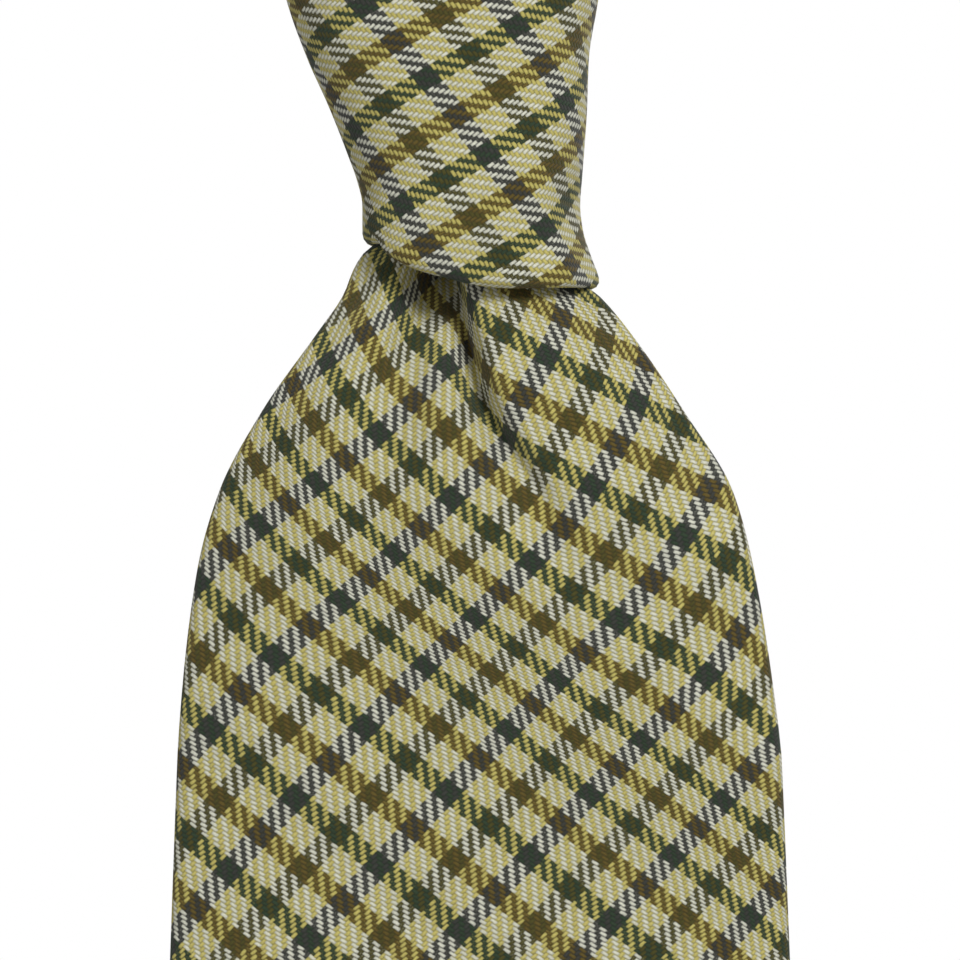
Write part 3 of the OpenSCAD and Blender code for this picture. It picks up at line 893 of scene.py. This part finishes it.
def wrap_strip(name, nodes, first, last, inset, thick, low, high, columns, at=None):
    """A folded strip bent round the knot between two angles, with both its long edges turned in."""
    angle = np.radians(np.linspace(first, last, columns))
    r = thick / 2
    turn = np.linspace(0, math.pi, TURN_ROWS + 2)[1:-1]
    on_face, hem = np.zeros(FACE_ROWS), np.zeros(HEM_ROWS)
    # height share from 0, the lower edge, to 1, the top; height beyond it in r; inset in r
    share = np.concatenate([[0.3, 0.15, 0.05], 0 * turn, np.linspace(0, 1, FACE_ROWS), 0 * turn + 1,
                            [0.95, 0.85, 0.7]])
    beyond = np.concatenate([hem, -np.sin(turn), on_face, np.sin(turn), hem])
    depth = np.concatenate([hem + 2, 1 + np.cos(turn), on_face, 1 - np.cos(turn), hem + 2])
    rough = on_knot(angle, np.full_like(angle, 15.0), 0)
    side = np.where(np.sin(angle) < 0, rough[:, 0], np.where(rough[:, 0] < 0, SIDE_LEFT, SIDE_RIGHT))
    bottom, top = low(side) + r, high(side) - r
    w = bottom[None] + (top - bottom)[None] * share[:, None] + beyond[:, None] * r
    grid = on_knot(angle[None], w, inset + depth[:, None] * r)[::-1]
    outside = np.zeros(w.shape, bool)
    outside[HEM_ROWS + TURN_ROWS:HEM_ROWS + TURN_ROWS + FACE_ROWS] = True
    outside = outside[::-1]
    arc = np.cumsum(np.linalg.norm(np.diff(grid, axis=1, prepend=grid[:, :1]), axis=-1), axis=1)
    arc = np.broadcast_to((arc - arc[:, [columns // 2]])[LEVEL_ROW], w.shape)
    up = np.cumsum(np.linalg.norm(np.diff(grid, axis=0, prepend=grid[:1]), axis=-1), axis=0)
    up = np.broadcast_to(-up[:, [columns // 2]], w.shape)
    flat = lay(grid, np.stack([arc, up], -1), np.zeros(w.shape, bool), 120)
    # Turned so that the front's flat points lie as they look from ahead
    seen = outside & (np.abs(grid[..., 0]) < 7) & (grid[..., 1] < KNOT_Y) if at else outside
    p, q = flat[seen], grid[seen][:, [0, 2]]
    p0, q0 = p.mean(axis=0), q.mean(axis=0)
    a, b = p - p0, q - q0
    turn_by = math.atan2((a[:, 0] * b[:, 1] - a[:, 1] * b[:, 0]).sum(), (a * b).sum())
    c, s = math.cos(turn_by), math.sin(turn_by)
    flat = (flat - p0) @ np.array([[c, s], [-s, c]]) + q0
    spot = flat[nearest(grid, *at, outside)] if at else (0, 0)
    uv = weave(flat, KNOT_WARP_ANGLE, KNOT_WEFT_ANGLE, KNOT_WARP, KNOT_WEFT, spot)
    return woven(name, grid, uv, nodes, "knot")


wrap_strip("knot_last_pass", ["knot_front_wrap"], -215, 35, 0, 2.7, wrap_floor, wrap_top, 126, KNOT_SQUARE)
wrap_strip("knot_first_pass", ["knot_inner_wrap"], -155, -25, 2.95, 1.8, level(2.5),
           lambda x: wrap_top(x) - 2, 64)
wrap_strip("knot_rear_pass", ["knot_back_pass"], 38, 142, 0, 2.7, level(1), level(39), 60)


# ---- Strips that follow a line ----


def strip(line, across, out, halves, columns=21):
    """A folded strip along a line: its shell as a grid, and a flat layer inside it."""
    inside = 2.4  # from the strip's edge to its lining's
    shell, layer, arcs = [], [], []
    for p, a, o, half in zip(line, across, out, halves):
        r = min(LINED_T / 2, 0.45 * half)
        x = np.linspace(-half + r, half - r, columns)
        s = folded(-half, half, level(-LINED_T / 2), level(LINED_T / 2), 0.25, x, r)
        shell.append(p + a * s[:, :1] - o * s[:, 1:])
        arcs.append(arc_from_middle(s, FLAP + ROLL + columns // 2))
        x = np.linspace(-half + inside, half - inside, 9)[:, None]
        layer.append(p + a * x + o * (LINED_T / 2 - 1.1))
    run = np.concatenate([[0], np.cumsum(np.linalg.norm(np.diff(line, axis=0), axis=-1))])
    arcs = np.array(arcs)
    flat = np.stack([arcs, np.broadcast_to(-run[:, None], arcs.shape)], -1)
    return np.array(shell), np.array(layer), flat


def frames(line, out):
    along = unit(np.gradient(line, axis=0))
    across = unit(np.cross(out, along))
    return across, np.cross(along, across)


_, BAND_HIGH = corners("neck_piece_shell")
NECK_W, NECK_D = BAND_HIGH[0] - LINED_T / 2, BAND_HIGH[1] - LINED_T / 2
BAND_HALF = 16.5
FRONT_Z = MOUTH_Z + KNOT_H - 1  # where the strands go into the knot
RISE = BAND_HIGH[2] - BAND_HALF - FRONT_Z  # of the band towards the back
SEAM = 72  # degrees round the neck from the front


def band_point(a):
    """The middle of the band at an angle round the neck, counted in degrees from the front."""
    t = np.radians(a)
    height = FRONT_Z + RISE * (1 - np.exp(-np.abs(a) / 45))
    return np.stack([NECK_W * np.sin(t), -NECK_D * np.cos(t), height], -1)


def band_out(p):
    return unit(np.stack([p[..., 0] / NECK_W**2, p[..., 1] / NECK_D**2, 0 * p[..., 0]], -1))


def smooth_line(points, count):
    """A Catmull-Rom line through points, with count places spaced evenly in their numbering."""
    p = np.asarray(points, float)
    ends = np.vstack([2 * p[0] - p[1], p, 2 * p[-1] - p[-2]])
    t = np.linspace(0, len(p) - 1, count)
    i = np.minimum(t.astype(int), len(p) - 2)
    u = (t - i)[:, None]
    a, b, c, d = ends[i], ends[i + 1], ends[i + 2], ends[i + 3]
    return 0.5 * (2 * b + (c - a) * u + (2 * a - 5 * b + 4 * c - d) * u**2 + (3 * b - a - 3 * c + d) * u**3)


def neck():
    a = np.linspace(SEAM, 360 - SEAM, 90)
    a = np.where(a > 180, a - 360, a)
    line = band_point(a)
    across, out = frames(line, band_out(line))
    shell, layer, flat = strip(line, across, out, np.full(len(a), BAND_HALF))
    woven("neck_cloth", shell, weave(flat), ["neck_piece_shell"], "neck_loop")
    interlining("neck_lining", layer, ["neck_piece_interlining"], "neck_loop")
    paths = []
    for i in range(2, len(a) - 2, 2):
        t = np.linspace(-1, 1, 9)[:, None]
        along = unit(line[i + 1] - line[i - 1])
        lift = 0.28 * np.sqrt(1 - 0.9 * t**2) - 0.1
        paths.append(line[i] + across[i] * t * 1.1 + along * t * 1.4 - out[i] * (LINED_T / 2 + lift))
    threads("neck_slip_stitches", paths, 0.2, ["neck_slip_stitch"], "neck_loop")
    # The seams run on the bias over the outside of the band
    paths = []
    for side in (-1, 1):
        k = np.linspace(-0.93, 0.93, 40)
        p = band_point(side * (SEAM + 9 * k))
        along = unit(band_point(side * (SEAM + 9 * k) + 0.5) - band_point(side * (SEAM + 9 * k) - 0.5))
        o = band_out(p)
        up = unit(np.cross(along, o))
        o = np.cross(up, along)
        up *= np.sign(up[:, 2:])
        o *= np.sign((o * band_out(p)).sum(axis=1, keepdims=True))
        p = p + up * (k * BAND_HALF)[:, None] + o * (LINED_T / 2 + 0.06 + 0.05 * np.cos(k * 90))[:, None]
        paths.append(p)
    threads("seam_threads", paths, 0.22, ["piecing_seams"], "neck_loop")


def strand(name, side, nodes):
    a = np.arange(SEAM, 22, -7.0)
    line = np.vstack([
        band_point(side * a),
        [[side * 15.2 - 0.6, -63.5, FRONT_Z + 13], [side * 8.4 - 2.8, -66.6, FRONT_Z + 3.5],
         [side * 5.8 - 3.8, -68, FRONT_Z - 4], [side * 5.2 - 3.6, -68, FRONT_Z - 11],
         [side * 5.2 - 3, -68, FRONT_Z - 17]],
    ])
    halves = np.concatenate([BAND_HALF - 1.5 * (SEAM - a) / 16, [10.4, 8, 6.4, 5.6, 5]])
    rows = 70
    path = smooth_line(line, rows)
    half = smooth_line(np.stack([halves, halves], -1), rows)[:, 0]
    across, out = frames(path, band_out(path))
    shell, layer, flat = strip(path, across, out, half)
    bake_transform(woven(name, shell, weave(flat), nodes[:1]))
    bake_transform(interlining(name + "_lining", layer, nodes[1:]))


def throat():
    """The end of the blade, from behind over the top of the knot and down inside its front."""
    rows = 60
    line = smooth_line([[-4, -61.5, FRONT_Z - 3], [-4.2, -62.6, FRONT_Z + 2.6], [-4.2, -66.5, FRONT_Z + 6.4],
                        [-4.1, -71.3, FRONT_Z + 5.8], [-4, -74.4, FRONT_Z + 1.5], [-4, -75, FRONT_Z - 5],
                        [-2.5, -75, MOUTH_Z + 20], [-1.2, -74.9, MOUTH_Z + 9]], rows)
    out = unit(np.stack([0 * line[:, 0], line[:, 1] + 68, line[:, 2] - (FRONT_Z - 6)], -1))
    out[line[:, 2] < FRONT_Z - 6] = (0, -1, 0)
    across, out = frames(line, out)
    half = np.interp(np.arange(rows), [0, 20, 40, rows - 1], [7, 9, 8, 6])
    shell, _, flat = strip(line, across, out, half)
    woven("knot_throat_cloth", shell, weave(flat), ["knot_throat"], "knot")


neck()
strand("left_strand", -1, ["left_strand_shell", "left_strand_interlining"])
strand("right_strand", 1, ["right_strand_shell", "right_strand_interlining"])
throat()


# ---- Table, light, camera ----

FLOOR_DROP = 40  # below the tip at rest; the knot's slide lowers the tip by 15
FLOOR_RADIUS = 420


def area_light(name, place, target, size, power):
    data = bpy.data.lights.new(name, "AREA")
    data.shape = "DISK"
    data.size = size
    data.energy = power
    light = bpy.data.objects.new(name, data)
    bpy.context.scene.collection.objects.link(light)
    light.location = place
    towards = Vector(target) - Vector(place)
    light.rotation_euler = towards.to_track_quat("-Z", "Y").to_euler()
    light.visible_camera = False


def floor():
    """A pale round table top below the hanging tie."""
    n = Nodes("pale_table")
    place = n.node("ShaderNodeTexCoord", outputs=3)
    grain = n.noise(place, 90.0, 4.0)
    n.set(Base_Color=n.mix(grain, rgb(240, 239, 236), rgb(248, 247, 245)), Roughness=0.8)
    sides = 96
    turn = np.linspace(0, 2 * math.pi, sides, endpoint=False)
    ring = np.stack([np.cos(turn), np.sin(turn), 0 * turn], -1)
    middle = np.array([0, 0, BLADE_LOW[2] - FLOOR_DROP])
    points = np.concatenate([ring * FLOOR_RADIUS + middle, ring * (FLOOR_RADIUS + 1.5) + middle - (0, 0, 3)])
    rim = [(i, i + sides, (i + 1) % sides + sides, (i + 1) % sides) for i in range(sides)]
    mesh = bpy.data.meshes.new("table_top")
    mesh.from_pydata((points * MM).tolist(), [], [tuple(range(sides))] + rim)
    mesh.materials.append(n.material)
    table = bpy.data.objects.new("table_top", mesh)
    bpy.context.scene.collection.objects.link(table)


def surroundings():
    world = bpy.data.worlds.new("studio")
    bpy.context.scene.world = world
    world.use_nodes = True
    # The backdrop looks white, and lights the tie less than a white room would
    tree = world.node_tree
    background = tree.nodes["Background"]
    background.inputs[0].default_value = (1, 1, 1, 1)
    seen = tree.nodes.new("ShaderNodeLightPath")
    strength = tree.nodes.new("ShaderNodeMapRange")
    strength.inputs["To Min"].default_value = 0.3
    strength.inputs["To Max"].default_value = 1.0
    tree.links.new(seen.outputs["Is Camera Ray"], strength.inputs["Value"])
    tree.links.new(strength.outputs[0], background.inputs[1])
    knot = (0, -0.07, -0.12)
    area_light("key", (0.4, -0.95, 0.4), knot, 0.35, 7.6)
    area_light("fill", (-0.8, -0.9, 0.1), knot, 0.6, 1.5)
    area_light("behind", (0.3, 1.0, 0.3), (0, 0, -0.2), 0.8, 9)

    data = bpy.data.cameras.new("camera")
    data.lens = 200
    data.sensor_width = 36
    data.clip_start = 0.01
    camera = bpy.data.objects.new("camera", data)
    bpy.context.scene.collection.objects.link(camera)
    camera.location = (0, -0.682, -0.1019)
    camera.rotation_euler = (math.pi / 2, 0, 0)
    bpy.context.scene.camera = camera
    bpy.context.scene.view_settings.view_transform = "Standard"


floor()
surroundings()
